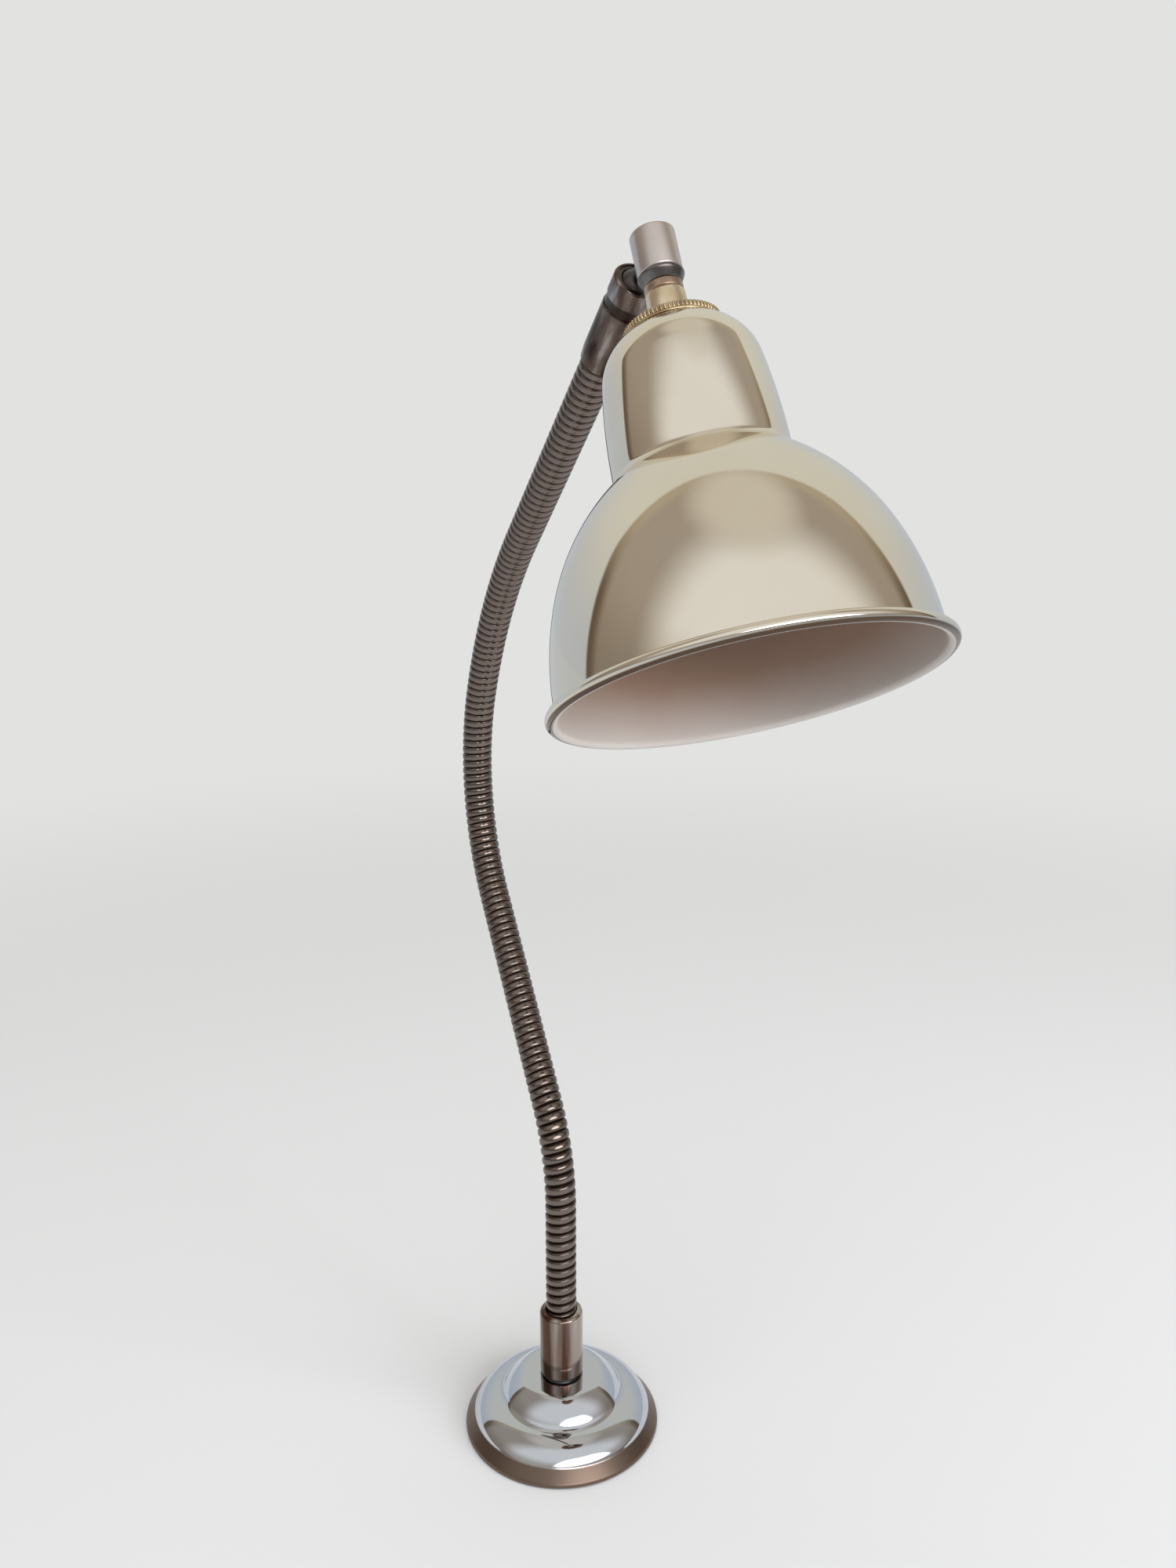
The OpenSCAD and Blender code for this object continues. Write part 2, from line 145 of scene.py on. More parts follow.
def hang_studio():
    """A pale room: a wall beyond the lamp, a warm ceiling, dimmer sides, and a bright front with a window."""
    world = bpy.data.worlds.new("Pale studio")
    bpy.context.scene.world = world
    world.use_nodes = True
    tree = world.node_tree
    way = node(tree, "ShaderNodeTexCoord").outputs["Generated"]
    height = node(tree, "ShaderNodeSeparateXYZ", {0: way}).outputs["Z"]
    ahead, behind, window = [
        node(tree, "ShaderNodeVectorMath", {0: way, 1: side}, operation="DOT_PRODUCT").outputs["Value"]
        for side in (AHEAD, BEHIND, WINDOW)
    ]

    def blend(value, start, end, first, second):
        share = node(tree, "ShaderNodeMapRange", {"Value": value, "From Min": start, "From Max": end},
                     interpolation_type="SMOOTHSTEP").outputs[0]
        return node(tree, "ShaderNodeMix", {"Factor": share, 6: first, 7: second},
                    data_type="RGBA").outputs[2]

    sides = blend(height, 0.05, 0.6, linear("#8f8579"), linear("#a79d92"))
    low_front = blend(height, 0.0, 0.14, linear("#6f655e"), linear("#b5aea5"))
    front = blend(height, 0.14, 0.55, low_front, linear("#e8e7e5"))
    room = blend(behind, 0.04, 0.46, sides, front)
    pane = blend(height, 0.16, 0.24, room, WINDOW_LIGHT)
    glazed = blend(height, 0.53, 0.6, pane, room)
    lit = blend(window, 0.78, 0.88, room, glazed)
    frame_edge = blend(height, 0.3, 0.8, linear("#6a5c4b"), linear("#b3a894"))
    edged = blend(ahead, 0.18, 0.31, lit, frame_edge)
    roofed = blend(height, 0.88, 0.98, edged, linear("#d0cabf"))
    wall = blend(height, 0.0, 0.7, linear("#bfc6cf"), linear("#d6d5cb"))
    all_round = blend(ahead, 0.33, 0.37, roofed, wall)
    ray = node(tree, "ShaderNodeLightPath").outputs
    seen = node(tree, "ShaderNodeMath", {0: ray["Is Camera Ray"], 1: ray["Is Transmission Ray"]},
                operation="MAXIMUM").outputs[0]
    shown = node(tree, "ShaderNodeMix", {"Factor": seen, 6: all_round, 7: linear(BACKGROUND)},
                 data_type="RGBA").outputs[2]
    tree.links.new(shown, tree.nodes["Background"].inputs["Color"])


def lay_floor():
    """A wide pale floor that keeps the lamp's shadow near by and fades into the background further off."""
    bpy.ops.object.select_all(action="DESELECT")
    bpy.ops.mesh.primitive_circle_add(vertices=96, radius=8, fill_type="NGON", location=(0, 0, -0.3 * MM))
    floor = bpy.context.object
    floor.name = "floor"
    bpy.ops.object.transform_apply(location=True, rotation=True, scale=True)
    material, tree, shader = finish_of("Painted board, pale and matt",
                                       Base_Color=linear("#d6d8db"), Roughness=0.7)
    place = node(tree, "ShaderNodeTexCoord").outputs["Object"]
    far = node(tree, "ShaderNodeVectorMath", {0: place}, operation="LENGTH").outputs["Value"]
    fade = node(tree, "ShaderNodeMapRange", {"Value": far, "From Min": 0.5, "From Max": 1.7},
                interpolation_type="SMOOTHSTEP").outputs[0]
    ray = node(tree, "ShaderNodeLightPath").outputs
    direct = node(tree, "ShaderNodeMath", {0: ray["Is Camera Ray"], 1: ray["Is Glossy Ray"]},
                  operation="MAXIMUM").outputs[0]
    seen = node(tree, "ShaderNodeMath", {0: direct, 1: ray["Is Transmission Ray"]},
                operation="MAXIMUM").outputs[0]
    share = node(tree, "ShaderNodeMath", {0: seen, 1: fade}, operation="MULTIPLY").outputs[0]
    colour = node(tree, "ShaderNodeMix",
                  {"Factor": ray["Is Glossy Ray"], 6: linear(BACKGROUND), 7: linear("#c3c9d0")},
                  data_type="RGBA").outputs[2]
    glow = node(tree, "ShaderNodeEmission", {"Color": colour}).outputs[0]
    mixed = node(tree, "ShaderNodeMixShader", {0: share, 1: shader.outputs[0], 2: glow}).outputs[0]
    tree.links.new(mixed, tree.nodes["Material Output"].inputs["Surface"])
    floor.data.materials.append(material)


def hang_softbox(name, place, target, width, height, watts):
    """One soft studio lamp that faces a point on the object."""
    bpy.ops.object.select_all(action="DESELECT")
    bpy.ops.object.light_add(type="AREA", location=place)
    lamp = bpy.context.object
    lamp.name = name
    lamp.rotation_euler = (Vector(target) - Vector(place)).to_track_quat("-Z", "Y").to_euler()
    lamp.data.shape = "RECTANGLE"
    lamp.data.size = width
    lamp.data.size_y = height
    lamp.data.energy = watts
    lamp.visible_glossy = False


def arc(x, z, r, start, end, count):
    """Points on an arc of a profile, in mm, with angles in degrees."""
    turns = [math.radians(start + (end - start) * i / count) for i in range(count + 1)]
    return [(x + r * math.cos(a), z + r * math.sin(a)) for a in turns]


def soften(points, size, count=4):
    """Rounds each inner corner of an open profile over about size mm."""
    out = [points[0]]
    for before, here, after in zip(points, points[1:], points[2:]):
        ends = []
        for other in (before, after):
            gap = math.dist(here, other)
            share = min(size, gap * 0.45) / gap
            ends.append([h + (o - h) * share for h, o in zip(here, other)])
        for i in range(count + 1):
            t = i / count
            out.append(tuple(a * (1 - t) ** 2 + 2 * h * t * (1 - t) + b * t * t
                             for a, h, b in zip(ends[0], here, ends[1])))
    return out + [points[-1]]


def draw_line(name, points):
    """A new piece, left in edit mode: one vertex extruded along the points of a profile, in mm."""
    bpy.ops.object.select_all(action="DESELECT")
    bpy.ops.mesh.primitive_plane_add(size=MM)
    piece = bpy.context.object
    piece.name = name
    bpy.ops.object.mode_set(mode="EDIT")
    bpy.ops.mesh.merge(type="CENTER")
    here = (0, 0)
    for i, there in enumerate(points):
        step = ((there[0] - here[0]) * MM, 0, (there[1] - here[1]) * MM)
        if i == 0:
            bpy.ops.transform.translate(value=step)
        else:
            bpy.ops.mesh.extrude_vertices_move(TRANSFORM_OT_translate={"value": step})
        here = there
    return piece


SAME_POINT = 0.002 * MM


def turned(name, profile, place, finish, steps=128, sharp=40):
    """A piece turned on its axis: a closed profile, drawn, spun and set in its place."""
    piece = draw_line(name, profile + profile[:1])
    bpy.ops.mesh.select_all(action="SELECT")
    bpy.ops.mesh.remove_doubles(threshold=SAME_POINT)
    bpy.ops.mesh.spin(steps=steps, angle=2 * math.pi, center=(0, 0, 0), axis=(0, 0, 1))
    bpy.ops.mesh.select_all(action="SELECT")
    bpy.ops.mesh.remove_doubles(threshold=SAME_POINT)
    bpy.ops.mesh.normals_make_consistent(inside=False)
    bpy.ops.object.mode_set(mode="OBJECT")
    piece.matrix_world = place
    bpy.ops.object.transform_apply(location=True, rotation=True, scale=True)
    bpy.ops.object.shade_smooth_by_angle(angle=math.radians(sharp))
    piece.data.materials.append(finish)
    return piece


def fit(piece, body, *replaced, slot):
    """The piece moves with a body and stands for its CAD nodes; slot is not used."""
    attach(piece, body)
    if replaced:
        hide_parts(*replaced)


def polished_nickel():
    """Nickel plate on spun sheet, buffed: a warm, faintly smeared mirror, with painted shade in dark brown
    beneath the bead.
    """
    material, tree, shader = finish_of("Nickel plate, spun and buffed", Metallic=1.0)
    place = node(tree, "ShaderNodeTexCoord").outputs["Object"]
    axis = node(tree, "ShaderNodeMapping",
                {"Vector": place, "Location": HEAD_PLACE, "Rotation": HEAD_TURN},
                vector_type="TEXTURE").outputs[0]
    height = node(tree, "ShaderNodeSeparateXYZ", {0: axis}).outputs["Z"]
    tone = node(tree, "ShaderNodeTexNoise",
                {"Vector": place, "Scale": METRE / 40, "Detail": 3.0}).outputs["Fac"]
    plate = node(tree, "ShaderNodeValToRGB", {"Fac": tone},
                 [(0.3, "#e9e0d0"), (0.7, "#efe8da")]).outputs["Color"]
    # Painted shade: below this height the bead's underside is darkened to brown
    bead_underside_shade = node(tree, "ShaderNodeMapRange",
                 {"Value": height, "From Min": -166.7 * MM, "From Max": -167.2 * MM}).outputs[0]
    colour = node(tree, "ShaderNodeMix", {"Factor": bead_underside_shade, 6: plate, 7: linear("#5d4c40")},
                  data_type="RGBA").outputs[2]
    smear = node(tree, "ShaderNodeTexNoise",
                 {"Vector": place, "Scale": METRE / 14, "Detail": 5.0}).outputs["Fac"]
    rough = node(tree, "ShaderNodeMapRange", {"Value": smear, "From Min": 0.45, "From Max": 0.75,
                                              "To Min": 0.025, "To Max": 0.06}).outputs[0]
    tree.links.new(colour, shader.inputs["Base Color"])
    tree.links.new(rough, shader.inputs["Roughness"])
    return material


def cream_enamel():
    """Sprayed cream enamel: matt and chalky, with specks of dust, painted darker and browner further up the
    bell as shade.
    """
    material, tree, shader = finish_of("Cream enamel, sprayed", Roughness=0.55)
    place = node(tree, "ShaderNodeTexCoord").outputs["Object"]
    axis = node(tree, "ShaderNodeMapping",
                {"Vector": place, "Location": HEAD_PLACE, "Rotation": HEAD_TURN},
                vector_type="TEXTURE").outputs[0]
    height = node(tree, "ShaderNodeSeparateXYZ", {0: axis}).outputs["Z"]
    # Painted shade: the deeper in the bell, the darker and browner the enamel
    depth = node(tree, "ShaderNodeMapRange",
                 {"Value": height, "From Min": -168 * MM, "From Max": -88 * MM}).outputs[0]
    tone = node(tree, "ShaderNodeTexNoise",
                {"Vector": place, "Scale": METRE / 30, "Detail": 4.0}).outputs["Fac"]
    mottle_and_painted_shade = node(tree, "ShaderNodeMath", {0: tone, 1: 0.12, 2: depth},
                   operation="MULTIPLY_ADD").outputs[0]
    colour = node(tree, "ShaderNodeValToRGB", {"Fac": mottle_and_painted_shade},
                  [(0.06, "#c2bcb8"), (1.0, "#6c4936"), (0.36, "#a08574")]).outputs["Color"]
    speck = node(tree, "ShaderNodeTexNoise",
                 {"Vector": place, "Scale": METRE / 1.2, "Detail": 2.0}).outputs["Fac"]
    peel = node(tree, "ShaderNodeBump",
                {"Height": speck, "Strength": 0.12, "Distance": 0.1 * MM}).outputs[0]
    tree.links.new(colour, shader.inputs["Base Color"])
    tree.links.new(peel, shader.inputs["Normal"])
    return material


def bright_chrome():
    """Bright plate on the base: a cool mirror with faint smears, dulled on the skirt, where its brown is a
    painted reflection.
    """
    material, tree, shader = finish_of("Bright plate, polished", Metallic=1.0)
    place = node(tree, "ShaderNodeTexCoord").outputs["Object"]
    height = node(tree, "ShaderNodeSeparateXYZ", {0: place}).outputs["Z"]
    # Painted reflection: below this height the skirt is coloured brown instead of the plate's cool grey
    top = node(tree, "ShaderNodeMapRange",
               {"Value": height, "From Min": 7.4 * MM, "From Max": 8.1 * MM}).outputs[0]
    colour = node(tree, "ShaderNodeMix", {"Factor": top, 6: linear("#75655a"), 7: linear("#cdd1d8")},
                  data_type="RGBA").outputs[2]
    smear = node(tree, "ShaderNodeTexNoise",
                 {"Vector": place, "Scale": METRE / 9, "Detail": 6.0}).outputs["Fac"]
    scuff = node(tree, "ShaderNodeMapRange", {"Value": smear, "From Min": 0.45, "From Max": 0.8,
                                              "To Min": 0.03, "To Max": 0.1}).outputs[0]
    rough = node(tree, "ShaderNodeMix", {"Factor": top, 2: 0.34, 3: scuff}).outputs[0]
    tree.links.new(colour, shader.inputs["Base Color"])
    tree.links.new(rough, shader.inputs["Roughness"])
    return material


def plated_sleeve(name, dark, light):
    """Nickel plate on turned tube, dulled by hands: a mirror with long streaks, bare here and brown there,
    the brown a painted reflection.
    """
    material, tree, shader = finish_of(name, Metallic=1.0)
    place = node(tree, "ShaderNodeTexCoord").outputs["Object"]
    long = node(tree, "ShaderNodeMapping", {"Vector": place, "Scale": (1, 1, 0.06)}).outputs[0]
    streak = node(tree, "ShaderNodeTexNoise",
                  {"Vector": long, "Scale": METRE / 9, "Detail": 3.0}).outputs["Fac"]
    # The dark tone is a painted reflection in brown
    colour = node(tree, "ShaderNodeValToRGB", {"Fac": streak},
                  [(0.4, dark), (0.66, light)]).outputs["Color"]
    rough = node(tree, "ShaderNodeMapRange", {"Value": streak, "From Min": 0.3, "From Max": 0.7,
                                              "To Min": 0.14, "To Max": 0.06}).outputs[0]
    tree.links.new(colour, shader.inputs["Base Color"])
    tree.links.new(rough, shader.inputs["Roughness"])
    return material


def wound_strip():
    """Nickelled steel strip, wound and browned by age: crowns painted lighter as a highlight, and grooves
    painted nearly black as shade.
    """
    material, tree, shader = finish_of("Nickelled strip, wound and aged", Metallic=1.0)
    place = node(tree, "ShaderNodeTexCoord").outputs["Object"]
    groove = node(tree, "ShaderNodeAttribute", attribute_name="groove").outputs["Fac"]
    tone = node(tree, "ShaderNodeTexNoise",
                {"Vector": place, "Scale": METRE / 22, "Detail": 4.0}).outputs["Fac"]
    # Painted light: the crowns take a lighter tone as painted highlight, the grooves and each rib's lowest
    # edge a near black as painted shade
    worn = node(tree, "ShaderNodeMath", {0: tone, 1: -0.16, 2: groove},
                operation="MULTIPLY_ADD").outputs[0]
    colour = node(tree, "ShaderNodeValToRGB", {"Fac": worn},
                  [(0.0, "#7b7069"), (0.7, "#1a120e"), (0.1, "#665a55"), (0.36, "#655952")]).outputs["Color"]
    rough = node(tree, "ShaderNodeMapRange", {"Value": groove, "From Min": 0.4, "From Max": 0.9,
                                              "To Min": 0.13, "To Max": 0.45}).outputs[0]
    tree.links.new(colour, shader.inputs["Base Color"])
    tree.links.new(rough, shader.inputs["Roughness"])
    return material


def worn_steel():
    """Steel tube, its plate worn along it: cool and shiny, with brown streaks, dull pits and a dark ring of
    painted shade round its recess.
    """
    material, tree, shader = finish_of("Steel tube, worn and pitted", Metallic=1.0)
    place = node(tree, "ShaderNodeTexCoord").outputs["Object"]
    axis = node(tree, "ShaderNodeMapping",
                {"Vector": place, "Location": SLEEVE_PLACE, "Rotation": SLEEVE_TURN},
                vector_type="TEXTURE").outputs[0]
    long = node(tree, "ShaderNodeMapping", {"Vector": axis, "Scale": (1, 1, 0.3)}).outputs[0]
    patch = node(tree, "ShaderNodeTexNoise",
                 {"Vector": long, "Scale": METRE / 8, "Detail": 6.0}).outputs["Fac"]
    plate = node(tree, "ShaderNodeValToRGB", {"Fac": patch},
                 [(0.36, "#3d2f28"), (0.68, "#b9b5b3"), (0.51, "#6f615a")]).outputs["Color"]
    height = node(tree, "ShaderNodeSeparateXYZ", {0: axis}).outputs["Z"]
    # Painted shade: a dark ring laid over the recess in the tube
    off = node(tree, "ShaderNodeMath", {0: height, 1: -30.7 * MM}, operation="ADD").outputs[0]
    far = node(tree, "ShaderNodeMath", {0: off}, operation="ABSOLUTE").outputs[0]
    recess_painted_shade = node(tree, "ShaderNodeMapRange", {"Value": far, "From Min": 2.7 * MM, "From Max": 2.0 * MM,
                                             "To Max": 0.8}).outputs[0]
    colour = node(tree, "ShaderNodeMix", {"Factor": recess_painted_shade, 6: plate, 7: linear("#2c221d")},
                  data_type="RGBA").outputs[2]
    pit = node(tree, "ShaderNodeTexVoronoi", {"Vector": place, "Scale": METRE / 1.6}).outputs["Distance"]
    rough = node(tree, "ShaderNodeMapRange", {"Value": patch, "From Min": 0.35, "From Max": 0.65,
                                              "To Min": 0.28, "To Max": 0.13}).outputs[0]
    dent = node(tree, "ShaderNodeBump", {"Height": pit, "Strength": 0.1, "Distance": 0.1 * MM}).outputs[0]
    tree.links.new(colour, shader.inputs["Base Color"])
    tree.links.new(rough, shader.inputs["Roughness"])
    tree.links.new(dent, shader.inputs["Normal"])
    return material


def dark_steel():
    """Turned steel, blackened: gunmetal with lighter rubbed spots."""
    material, tree, shader = finish_of("Steel, turned and blackened", Metallic=1.0, Roughness=0.32)
    place = node(tree, "ShaderNodeTexCoord").outputs["Object"]
    tone = node(tree, "ShaderNodeTexNoise",
                {"Vector": place, "Scale": METRE / 5, "Detail": 5.0}).outputs["Fac"]
    colour = node(tree, "ShaderNodeValToRGB", {"Fac": tone},
                  [(0.3, "#4c4847"), (0.7, "#6d6765")]).outputs["Color"]
    tree.links.new(colour, shader.inputs["Base Color"])
    return material


def satin_nickel():
    """Satin nickel on the barrel: soft grey with fine turning rings and a few dark pits."""
    material, tree, shader = finish_of("Nickel plate, satin turned", Metallic=1.0)
    place = node(tree, "ShaderNodeTexCoord").outputs["Object"]
    axis = node(tree, "ShaderNodeMapping",
                {"Vector": place, "Location": HEAD_PLACE, "Rotation": HEAD_TURN},
                vector_type="TEXTURE").outputs[0]
    fine = node(tree, "ShaderNodeMapping",
                {"Vector": axis, "Scale": (METRE / 50, METRE / 50, METRE / 0.4)}).outputs[0]
    ring = node(tree, "ShaderNodeTexNoise", {"Vector": fine, "Scale": 1.0, "Detail": 2.0}).outputs["Fac"]
    spot = node(tree, "ShaderNodeTexNoise",
                {"Vector": axis, "Scale": METRE / 1.1, "Detail": 3.0}).outputs["Fac"]
    pit = node(tree, "ShaderNodeMapRange", {"Value": spot, "From Min": 0.7, "From Max": 0.76}).outputs[0]
    colour = node(tree, "ShaderNodeMix", {"Factor": pit, 6: linear("#d3cac5"), 7: linear("#4f4641")},
                  data_type="RGBA").outputs[2]
    rough = node(tree, "ShaderNodeMapRange", {"Value": ring, "To Min": 0.28, "To Max": 0.36}).outputs[0]
    tree.links.new(colour, shader.inputs["Base Color"])
    tree.links.new(rough, shader.inputs["Roughness"])
    return material


def turned_metal(name, light, dark, rough):
    """Turned metal: lighter and shinier where it is rubbed, darker where it has dulled."""
    material, tree, shader = finish_of(name, Metallic=1.0)
    place = node(tree, "ShaderNodeTexCoord").outputs["Object"]
    tone = node(tree, "ShaderNodeTexNoise",
                {"Vector": place, "Scale": METRE / 6, "Detail": 5.0}).outputs["Fac"]
    colour = node(tree, "ShaderNodeValToRGB", {"Fac": tone},
                  [(0.32, dark), (0.65, light)]).outputs["Color"]
    gloss = node(tree, "ShaderNodeMapRange", {"Value": tone, "From Min": 0.3, "From Max": 0.7,
                                              "To Min": rough + 0.1, "To Max": rough}).outputs[0]
    tree.links.new(colour, shader.inputs["Base Color"])
    tree.links.new(gloss, shader.inputs["Roughness"])
    return material


def plain_finish(name, light, dark, size, **sockets):
    """A piece seen only from below or deep inside: two close tones of its own colour, size mm apart."""
    material, tree, shader = finish_of(name, **sockets)
    place = node(tree, "ShaderNodeTexCoord").outputs["Object"]
    tone = node(tree, "ShaderNodeTexNoise",
                {"Vector": place, "Scale": METRE / size, "Detail": 4.0}).outputs["Fac"]
    colour = node(tree, "ShaderNodeValToRGB", {"Fac": tone},
                  [(0.3, dark), (0.7, light)]).outputs["Color"]
    grain = node(tree, "ShaderNodeBump",
                 {"Height": tone, "Strength": 0.1, "Distance": 0.05 * MM}).outputs[0]
    tree.links.new(colour, shader.inputs["Base Color"])
    tree.links.new(grain, shader.inputs["Normal"])
    return material


def shade_profile():
    """The shade's outer line, its bead, then its inner line back to the top, on the head's axis."""
    dome_r, mouth_r, bell_up, bell_low, bell_mid, cove_r = 32.2, 67.6, 84, 112, 20, 4
    shoulder_r, side_r, side_turn, wall, bead_r, top, hole_r = 21.3, 235, 8.9, 0.7, 2.2, -30.6, 5.3
    slope = math.radians(side_turn)
    middle = math.radians(bell_mid)
    waist = dome_r + cove_r
    reach = cove_r + bell_up
    turn = math.acos((waist - mouth_r + bell_low + (bell_up - bell_low) * math.cos(middle)) / reach)
    cove_turn = math.degrees(turn)
    foot = top - side_r * math.sin(slope) - shoulder_r * (1 - math.sin(slope))
    bell = (waist - reach * math.cos(turn), foot - reach * math.sin(turn))
    bell_z = bell[1] + (bell_up - bell_low) * math.sin(middle)
    knee = (dome_r - side_r * (1 - math.cos(slope)), foot + side_r * math.sin(slope))
    corner = (knee[0] - shoulder_r * math.cos(slope), knee[1] - shoulder_r * math.sin(slope))

    def line(o):
        return (
            [(hole_r, top - o)]
            + arc(*corner, shoulder_r - o, 90, side_turn, 22)
            + arc(dome_r - side_r, foot, side_r - o, side_turn, 0, 14)[1:]
            + arc(waist, foot, cove_r + o, 180, 180 + cove_turn, 12)[1:]
            + arc(*bell, bell_up - o, cove_turn, bell_mid, 24)[1:]
            + arc(mouth_r - bell_low, bell_z, bell_low - o, bell_mid, 0, 20)[1:]
        )

    start = math.degrees(math.acos(wall / bead_r - 1))
    bead = arc(mouth_r + bead_r - wall, bell_z - 2, bead_r, start, -175, 26)
    return line(0) + bead + line(wall)[::-1]


def spin_shade(outside, inside):
    """The spun shade: mirror bright outside, enamelled inside down to the bottom of its bead."""
    shade = turned("shade_spun", shade_profile(), ON_HEAD, outside, steps=168)
    shade.data.materials.append(inside)
    to_axis = ON_HEAD.inverted()
    turn = to_axis.to_3x3()
    for face in shade.data.polygons:
        middle = to_axis @ face.center
        facing = turn @ face.normal
        if facing.x * middle.x + facing.y * middle.y < 0:
            face.material_index = 1
    fit(shade, "head", "shade", slot="polished_shade")


# The hole in the pieces that a threaded nipple clamps, and the height of the base, in mm
BORE_R = 5.1
BASE_TOP = 28.8


def cover_profile():
    """The base cover's outer line from its foot to its hole, then its inner line back down."""
    foot, sheet = 0.6, 1.2
    tier, cove, flank, crown = (31.5, 1.6), (34.58, 22.17), (8.0, 6.22), (18.9, 21.8)
    tier_r, cove_r, flank_r, crown_r = 15.8, 5, 26, 7
    outer = (
        soften([(50.9, foot), (50.6, 2.1), (46.2, 7.5), (45.9, 8.1)], 0.5)
        + arc(*tier, tier_r, 26, 81.5, 24)
        + arc(*cove, cove_r, 261.5, 211, 10)[1:]
        + arc(*flank, flank_r, 31, 55, 16)[1:]
        + arc(*crown, crown_r, 55, 90, 12)[1:]
        + [(BORE_R, BASE_TOP)]
    )
    inner = (
        [(BORE_R, BASE_TOP - sheet)]
        + arc(*crown, crown_r - sheet, 90, 55, 12)
        + arc(*flank, flank_r - sheet, 55, 31, 16)[1:]
        + arc(*cove, cove_r + sheet, 211, 261.5, 10)[1:]
        + arc(*tier, tier_r - sheet, 81.5, 26, 24)[1:]
        + [(45.0, 6.9), (49.4, 1.8), (49.6, foot)]
    )
    return outer + inner


def spin_base(finish):
    """The base's stepped cover, with its cable hole at the back."""
    hole_r, hole_y, hole_z = 3.45, 49, 7.7
    cover = turned("base_cover_spun", cover_profile(), ON_BENCH, finish, steps=144)
    bpy.ops.object.select_all(action="DESELECT")
    bpy.ops.mesh.primitive_cylinder_add(vertices=48, radius=hole_r * MM, depth=20 * MM,
                                        location=(0, hole_y * MM, hole_z * MM), rotation=(math.pi / 2, 0, 0))
    drill = bpy.context.object
    cut = cover.modifiers.new("Cable hole", "BOOLEAN")
    cut.operation = "DIFFERENCE"
    cut.solver = "EXACT"
    cut.object = drill
    bpy.context.view_layer.objects.active = cover
    bpy.ops.object.modifier_apply(modifier=cut.name)
    bpy.data.objects.remove(drill)
    fit(cover, "base", "base_cover", slot="plated_cover")


# The hose's strip, in mm: the rise of a turn as it is wound, the strip's width, and its crown and groove
RIB = 4.0
STRIP = 3.95
CROWN_R = 8.0
GROOVE_R = 6.9
# The points drawn across one rib, and how flat its crown is
RIB_POINTS = (0, 0.025, 0.07, 0.15, 0.3, 0.5, 0.7, 0.85, 0.93, 0.975, 1)
RIB_FLATNESS = 3.2
WINDING_STEPS = 36
# What is cut off at either end of the hose, and how far to either side of a bend it gives, in mm
HOSE_TRIM = 6.5
BEND_REACH = 38


def rib_stations():
    """How far up the hose each rib starts, in mm: the lowest are pulled apart, the highest closed up."""
    pitch, pulled, closed = 4.04, 1.1, 0.2
    places = [0.0]
    while places[-1] < HOSE_LENGTH:
        s = places[-1]
        low = max(0.0, min(1.0, (150 - s) / 75))
        high = max(0.0, min(1.0, (s - 420) / 120))
        places.append(s + pitch + pulled * low * low * (3 - 2 * low) - closed * high)
    over = HOSE_LENGTH / places[-1]
    return [p * over for p in places]


def station(places, turn):
    """How far up the hose a rib is after so many turns of the strip, in mm."""
    low = max(0, min(len(places) - 2, int(turn)))
    return places[low] + (places[low + 1] - places[low]) * (turn - low)


def space_ribs(hose, stations):
    """Notes how deep in a groove each point lies, and moves the ribs up or down to their stations."""
    seam, rib_edge_shade_share = 1e-4, 0.16
    depth = hose.data.attributes.new("groove", "FLOAT", "POINT")
    for i, vertex in enumerate(hose.data.vertices):
        radius = math.hypot(vertex.co.x, vertex.co.y) / MM
        turn = vertex.co.z / (RIB * MM)
        across = (turn - math.atan2(vertex.co.y, vertex.co.x) / (2 * math.pi) + seam) % 1 - seam
        # The lowest share of each rib counts as groove too, so that it takes the groove's painted shade
        depth.data[i].value = max((CROWN_R - radius) / (CROWN_R - GROOVE_R), 1 - across / rib_edge_shade_share)
        start, end = [station(stations, turn - across + k) for k in (0, 1)]
        strip = min(STRIP, end - start)
        if across < 0.02:
            vertex.co.z = start * MM
        else:
            vertex.co.z = (start + (end - start - strip) / 2 + strip * across) * MM


def lay_route():
    """The gooseneck's route as a curve, which the straight hose is bent along."""
    line = bpy.data.curves.new("route", "CURVE")
    line.dimensions = "3D"
    spline = line.splines.new("POLY")
    places = [along(s) for s in range(0, HOSE_LENGTH + 1, 3)]
    spline.points.add(len(places) - 1)
    for point, (y, z, _) in zip(spline.points, places):
        point.co = (0, y * MM, z * MM, 1)
    route = bpy.data.objects.new("route", line)
    bpy.context.scene.collection.objects.link(route)
    return route


def wind_hose(finish):
    """The strip-wound hose: one rib wound up a straight line, then bent along the route."""
    stations = rib_stations()
    height = CROWN_R - GROOVE_R
    hose = draw_line("hose", [
        (GROOVE_R + height * (1 - abs(2 * t - 1) ** RIB_FLATNESS) ** 0.5, t * RIB) for t in RIB_POINTS
    ])
    bpy.ops.object.mode_set(mode="OBJECT")
    winding = hose.modifiers.new("Winding", "SCREW")
    winding.angle = 2 * math.pi
    winding.screw_offset = RIB * MM
    winding.iterations = len(stations) - 2
    winding.steps = WINDING_STEPS
    winding.render_steps = WINDING_STEPS
    bpy.ops.object.modifier_apply(modifier=winding.name)
    bpy.ops.object.mode_set(mode="EDIT")
    bpy.ops.mesh.select_all(action="SELECT")
    bpy.ops.mesh.remove_doubles(threshold=0.003 * MM)
    bpy.ops.mesh.normals_make_consistent(inside=False)
    bpy.ops.object.mode_set(mode="OBJECT")
    space_ribs(hose, stations)
    route = lay_route()
    bend = hose.modifiers.new("Bend", "CURVE")
    bend.object = route
    bend.deform_axis = "POS_Z"
    bpy.ops.object.modifier_apply(modifier=bend.name)
    bpy.data.objects.remove(route)
    bpy.ops.object.shade_smooth()
    hose.data.materials.append(finish)
    return hose


